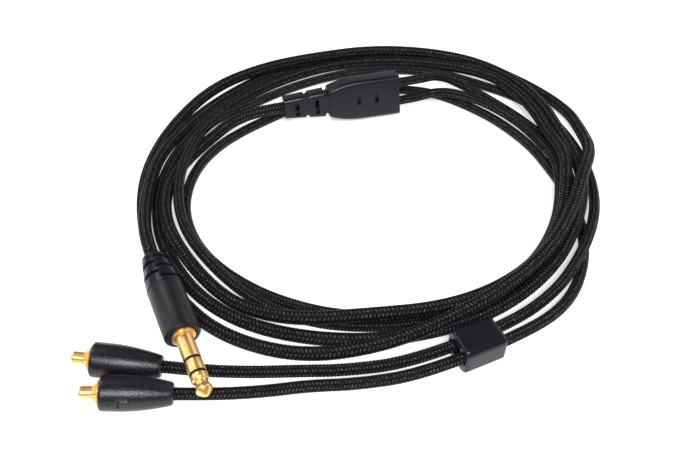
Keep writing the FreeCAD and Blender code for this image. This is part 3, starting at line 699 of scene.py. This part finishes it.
def build_plug(paint):
    boot = [(0.0, 1.56), (0.0, 2.3), (0.25, 2.45), (3.0, 2.95), (6.0, 3.45), (8.8, 3.73),
            (BOOT_LENGTH, 3.73), (BOOT_LENGTH, 1.56)]
    own(turned("cable_boot", boot, PLUG, paint["moulded"], 144, 0.1, 0.11, boot_shape),
        "moulded_plastic", "plug_boot")

    back, front = BOOT_LENGTH, PLUG_FRONT
    barrel = [(back + 0.02, 1.6), (back + 0.02, BARREL_RADIUS - 0.02),
              (front - 0.6, BARREL_RADIUS), (front - 0.25, BARREL_RADIUS - 0.07),
              (front - 0.06, BARREL_RADIUS - 0.25), (front, BARREL_RADIUS - 0.5),
              (front - 0.02, 2.72), (front - 0.7, 2.66), (front - 0.7, 2.25),
              (front - 2.0, 2.25), (front - 2.0, 2.9), (back + 0.75, 2.9), (back + 0.75, 1.6)]
    own(turned("jack_barrel", barrel, PLUG, paint["barrel"], 128, 0.2), "barrel_finish",
        "plug_barrel")

    sleeve = [(front - 5.0, 1.34), (front - 5.0, 2.2), (front - 0.6, 2.2), (front - 0.6, 2.5),
              (front + 0.0, 2.5), (front + 0.06, 2.36), (front + 0.16, 2.36), (front + 0.22, 2.5),
              (front + 0.4, 2.44), (front + 0.5, 2.25), (front + 0.5, SHAFT_RADIUS),
              (front + 5.86, SHAFT_RADIUS), (front + 5.9, SHAFT_RADIUS - 0.05),
              (front + 5.9, 1.34)]
    own(turned("jack_sleeve_band", sleeve, PLUG, paint["gold"], 96, 0.05), "gold_contact",
        "plug_sleeve_contact")
    ring = [(front - 7.0, 0.8), (front - 7.0, 1.05), (front + 6.5, 1.05),
            (front + 6.5, SHAFT_RADIUS - 0.05), (front + 6.54, SHAFT_RADIUS),
            (front + 9.16, SHAFT_RADIUS), (front + 9.2, SHAFT_RADIUS - 0.05), (front + 9.2, 0.8)]
    own(turned("jack_ring_band", ring, PLUG, paint["gold"], 96, 0.05), "gold_contact",
        "plug_ring_contact")
    tip = [(front - 9.0, 0.0), (front - 9.0, 0.5), (front + 9.8, 0.5),
           (front + 9.8, SHAFT_RADIUS - 0.05), (front + 9.84, SHAFT_RADIUS),
           (front + 10.7, SHAFT_RADIUS), (front + 10.9, 1.66), (front + 11.15, 1.38),
           (front + 11.4, 1.3), (front + 12.1, 1.3), (front + 12.45, 1.44),
           (front + 12.85, 1.66), (front + 13.1, 1.7), (front + 13.35, 1.6),
           (front + 13.95, 0.98), (front + 14.3, 0.56), (front + SHAFT_LENGTH, 0.3),
           (front + SHAFT_LENGTH, 0.0)]
    own(turned("jack_tip", tip, PLUG, paint["gold"], 96, 0.16), "gold_contact",
        "plug_tip_contact")
    sunk = SHAFT_RADIUS - 0.03
    rear = [(front - 5.0, 1.07), (front - 5.0, 1.32), (front + 5.9, 1.32), (front + 5.9, sunk),
            (front + 6.5, sunk), (front + 6.5, 1.07)]
    own(turned("jack_rear_insulator", rear, PLUG, paint["insulator"], 96, 0.02), "insulator",
        "plug_rear_insulator")
    fore = [(front + 9.2, 0.52), (front + 9.2, sunk), (front + 9.8, sunk), (front + 9.8, 0.52)]
    own(turned("jack_front_insulator", fore, PLUG, paint["insulator"], 96, 0.02), "insulator",
        "plug_front_insulator")


# ---------------------------------------------------------------- splitter

FLARE_LENGTH = 9.0
RECESSES_AT = (7.8, 12.7)
RIBS_AT = (3.3, 5.95, 8.6, 11.25)
RIB_WIDTH = 1.1


def flare(along):
    """Half the splitter's width at a distance from its narrow end."""
    share = min(max(along / FLARE_LENGTH, 0.0), 1.0)
    return 3.8 + 1.6 * (1 - (1 - share) ** 2.2)


def boot_half_width(along):
    return 2.7 + 0.0825 * along


def build_splitter(paint):
    back, end = SPLITTER_BOOT_LENGTH, SPLITTER_BOOT_LENGTH + SPLITTER_LENGTH
    half = SPLITTER_THICKNESS / 2
    stations = [back + FLARE_LENGTH * step / 12 for step in range(13)] + [end - 4.5, end]
    sections = [(along, rounded_box_outline(flare(along - back), half, 1.0))
                for along in stations]
    shell = lofted("splitter_body", sections, SPLITTER, paint["moulded"])
    tools = [bore("hollow", back + 1.3, end - 1.3, 0.0, half - 1.3, SPLITTER, 6.4),
             bore("cable_hole", back - 1, back + 2, 0.0, MAIN_RADIUS + 0.1, SPLITTER)]
    tools += [bore("leg_hole", end - CABLE_ENTRY, end + 1, side * LEG_EXIT_OFFSET,
                   LEG_RADIUS + 0.1, SPLITTER) for side in (1, -1)]
    for along in RECESSES_AT:
        for low, high in ((half - 1.15, half + 1), (-half - 1, 1.15 - half)):
            tools.append(prism("recess", oblong(2.3, 1.0), low, high, SPLITTER,
                               (back + along, 0)))
    own(carved(shell, tools, 0.16), "moulded_plastic", "splitter_shell")

    sections = [(along, rounded_box_outline(boot_half_width(along), 2.2 + 0.016 * along, 1.1))
                for along in (0.0, 4.0, 8.0, back - 0.02)]
    boot = lofted("splitter_relief", sections, SPLITTER, paint["moulded"])
    tools = [bore("cable_hole", -1, back + 1, 0.0, MAIN_RADIUS + 0.08, SPLITTER)]
    # slots open to the cable from both broad faces, then notches in both edges, by turns
    for index, centre in enumerate(RIBS_AT):
        if index % 2 == 0:
            slot = oblong(4.0 + 0.08 * centre, RIB_WIDTH)
            for low, high in ((1.2, 4), (-4, -1.2)):
                tools.append(prism("rib_slot", slot, low, high, SPLITTER, (centre, 0)))
        else:
            for side in (1, -1):
                tools.append(prism("rib_notch", oblong(4.0, RIB_WIDTH), -4, 4, SPLITTER,
                                   (centre, side * (4.15 + 0.02 * centre))))
    own(carved(boot, tools, 0.18), "moulded_plastic", "splitter_boot")


# ---------------------------------------------------------------- chin slider

def build_slider(paint):
    half_width, half_height, half = SLIDER_WIDTH / 2, SLIDER_HEIGHT / 2, SLIDER_LENGTH / 2
    sections = []
    for along, inset in ((-half, 0.42), (-half + 0.13, 0.17), (-half + 0.42, 0.03),
                         (-half + 0.9, 0.0), (half - 0.9, 0.0), (half - 0.42, 0.03),
                         (half - 0.13, 0.17), (half, 0.42)):
        sections.append((along, rounded_box_outline(half_width - inset, half_height - inset,
                                                    1.7 - inset, 10)))
    block = lofted("chin_slider_block", sections, SLIDE, paint["moulded"])
    opening = bore("opening", -half - 1, half + 1, 0.0, 1.5, SLIDE, 2 * SLIDER_HOLE_OFFSET + 3.0)
    own(carved(block, [opening], 0.12), "moulded_plastic", "chin_slider", body=SLIDER)


# ---------------------------------------------------------------- push-on connectors

# the mark's strokes, as (along, arc) from end to end: a corner's two sides, and a dot
MARK_STROKES = (((3.7, -0.75), (3.7, 0.75)), ((3.7, -0.75), (5.5, -0.75)),
                ((1.95, 0.0), (2.05, 0.0)))
MARK_ANGLE = 2.8
MARK_HALF_WIDTH = 0.26
MARK_SLOPE = 0.12
MARK_DEPTH = 0.3


def marked_housing(along, radius, angle):
    """A small engraved corner and a dot, for telling the two housings apart by touch."""
    if radius < 2.9:
        return radius
    arc = (angle - MARK_ANGLE) * radius
    depth = 0.0
    for (start_x, start_y), (end_x, end_y) in MARK_STROKES:
        run, rise = end_x - start_x, end_y - start_y
        share = ((along - start_x) * run + (arc - start_y) * rise) / (run * run + rise * rise)
        share = min(max(share, 0.0), 1.0)
        away = math.hypot(along - start_x - share * run, arc - start_y - share * rise)
        depth = max(depth, min(max((MARK_HALF_WIDTH - away) / MARK_SLOPE, 0.0), 1.0))
    return radius - MARK_DEPTH * depth


FLANGE_SLOTS = 10


def slotted_flange(along, radius, angle):
    """Small slots across the cone behind the nose."""
    if not 0.1 < along < 1.25 or radius < 1.5:
        return radius
    away = (angle * FLANGE_SLOTS / (2 * math.pi)) % 1.0 - 0.5
    return radius - 0.55 * max(0.0, 1 - (away / 0.2) ** 4)


def build_connector(side, place, paint):
    long, wide, thin = HOUSING_LENGTH, HOUSING_RADIUS, HOUSING_TAIL_RADIUS
    profile = [(0.0, 2.2), (0.0, 2.9), (0.05, 3.1), (0.16, 3.27), (0.34, 3.39), (0.6, wide),
               (HOUSING_STRAIGHT, wide)]
    for step in range(1, 12):
        share = step / 12
        profile.append((HOUSING_STRAIGHT + share * (long - HOUSING_STRAIGHT),
                        wide - (wide - thin) * share ** 1.7))
    profile += [(long - 0.25, thin + 0.04), (long, thin - 0.25), (long, LEG_RADIUS + 0.07),
                (10.5, LEG_RADIUS + 0.07), (10.5, 1.1), (9.6, 1.1), (9.6, 2.2)]
    shape = marked_housing if side == "left" else None
    own(turned(f"{side}_earpiece_housing", profile, place, paint["housing"], 160, 0.12,
               0.14 if shape else None, shape), "housing_plastic", f"{side}_connector_housing")

    facing = place @ Matrix.Rotation(math.pi, 4, "Z")
    shell = [(0.02, 0.8), (0.02, 2.5), (0.3, 2.5), (0.4, 2.4), (0.75, 1.95), (1.1, 1.62),
             (1.28, 1.4), (1.34, 1.2), (3.4, 1.2), (3.58, 1.14), (3.7, 1.0), (3.7, 0.86),
             (3.5, 0.8)]
    own(turned(f"{side}_coaxial_nose", shell, facing, paint["gold"], 160, 0.04, 0.12,
               slotted_flange), "gold_contact", f"{side}_connector_contact_shell")


# ---------------------------------------------------------------- the CAD parts that stay

KEPT = {
    "inner_mould": ("mould", ["plug_inner_mould", "splitter_inner_mould"]),
    "insulator": ("insulator", ["plug_core_insulator", "left_connector_insulator",
                                "right_connector_insulator"]),
    "solder": ("solder", ["plug_solder_lugs"]),
    "copper": ("copper", ["plug_wire_cores", "splitter_splices", "left_connector_wires",
                          "right_connector_wires"]),
    "gold_contact": ("gold", ["left_connector_centre_pin", "right_connector_centre_pin",
                              "left_connector_body", "right_connector_body"]),
    "crimp_metal": ("solder", ["left_connector_crimp", "right_connector_crimp"]),
}


def paint_kept(paint):
    for slot, (look, nodes) in KEPT.items():
        for node in nodes:
            piece = frame["nodes"][node]
            piece.data.materials.clear()
            piece.data.materials.append(paint[look])


# ---------------------------------------------------------------- cords

# real lengths, in metres, and how far one stitch of the braid reaches along each cable
MAIN_CORD_LENGTH, RIGHT_CORD_LENGTH, LEFT_CORD_LENGTH = 1.055, 0.5, 0.455
MAIN_STITCH, LEG_STITCH = 0.85, 0.72


def build_cords(paint):
    leg_end = SPLITTER_BOOT_LENGTH + SPLITTER_LENGTH
    plug_pieces = ["cable_boot", "jack_barrel", "jack_sleeve_band", "jack_ring_band", "jack_tip",
                   "jack_rear_insulator", "jack_front_insulator", "plug_core_insulator",
                   "plug_inner_mould", "plug_solder_lugs", "plug_wire_cores"]
    plans = [("main_braid", "main_cable", main_route(), MAIN_RADIUS, MAIN_STITCH,
              on_axis(SPLITTER, 0.0), MAIN_CORD_LENGTH, "plug", plug_pieces)]
    for side, name, place, lead, lay, tail, length in (
            (1, "right", RIGHT, 5.0, RIGHT_LAY, RIGHT_TAIL, RIGHT_CORD_LENGTH),
            (-1, "left", LEFT, 4.0, LEFT_LAY, LEFT_TAIL, LEFT_CORD_LENGTH)):
        pieces = [f"{name}_earpiece_housing", f"{name}_coaxial_nose"]
        pieces += [f"{name}_connector_{part}"
                   for part in ("insulator", "centre_pin", "body", "crimp", "wires")]
        plans.append((f"{name}_leg_braid", f"{name}_leg_cable",
                      leg_route(place, side, lead, lay, tail), LEG_RADIUS, LEG_STITCH,
                      on_axis(SPLITTER, leg_end, side * LEG_EXIT_OFFSET), length, "connector",
                      pieces))
    for name, node, route, radius, stitch, exit_point, length, far_end, pieces in plans:
        cable, line = braided_cable(name, route, radius, stitch)
        cable.data.materials.append(paint["braid"])
        own(cable, "braided_sheath", node)


# ---------------------------------------------------------------- studio

# each light's place, width and height in metres, and its power in watts
LIGHTS = {
    "key": ((0.05, -0.42, 0.52), 0.3, 0.16, 3.6),
    "left_fill": ((-0.6, -0.05, 0.3), 0.3, 0.4, 1.0),
    "right_fill": ((0.6, 0.1, 0.35), 0.25, 0.35, 0.8),
    "left_window": ((-0.62, 0.52, 0.95), 0.6, 0.5, 4.0),
    "right_window": ((0.75, 0.75, 0.65), 0.8, 0.6, 2.6),
}
# the floor is just under the cable, so that their surfaces don't coincide
FLOOR_GAP = 0.02
FLOOR_HALF_SIDE = 3000.0
CAMERA_PLACE = Vector((-5.23, -137.92, 128.5))
CAMERA_AIM = Vector((-5.23, -13.82, 0.0))


def area_light(name, spot, width, height, power):
    """A soft rectangular light that faces the origin."""
    data = bpy.data.lights.new(name, "AREA")
    data.shape, data.size, data.size_y, data.energy = "RECTANGLE", width, height, power
    light = added(bpy.data.objects.new(name, data))
    light.location = spot
    light.rotation_euler = (-Vector(spot)).to_track_quat("-Z", "Y").to_euler()


def build_studio(paint):
    bm = bmesh.new()
    bmesh.ops.create_grid(bm, x_segments=2, y_segments=2, size=FLOOR_HALF_SIDE * MM)
    floor = new_piece("floor", as_mesh(bm, "floor"), paint["floor"])
    floor.location.z = -FLOOR_GAP * MM

    world = bpy.data.worlds.new("studio")
    world.use_nodes = True
    background = world.node_tree.nodes["Background"]
    background.inputs["Color"].default_value = (0.93, 0.96, 1.0, 1.0)
    background.inputs["Strength"].default_value = 0.13
    bpy.context.scene.world = world
    bpy.context.scene.view_settings.view_transform = "Standard"
    for name, light in LIGHTS.items():
        area_light(name, *light)


def build_camera():
    data = bpy.data.cameras.new("camera")
    data.sensor_width, data.lens = 36.0, 40.29
    data.clip_start, data.clip_end = 0.01, 20.0  # metres
    camera = added(bpy.data.objects.new("camera", data))
    camera.location = CAMERA_PLACE * MM
    camera.rotation_euler = (CAMERA_AIM - CAMERA_PLACE).to_track_quat("-Z", "Y").to_euler()
    bpy.context.scene.camera = camera


def main():
    paint = build_materials()
    build_plug(paint)
    build_splitter(paint)
    build_slider(paint)
    for side, place in (("left", LEFT), ("right", RIGHT)):
        build_connector(side, place, paint)
    build_cords(paint)
    paint_kept(paint)
    build_studio(paint)
    build_camera()


main()
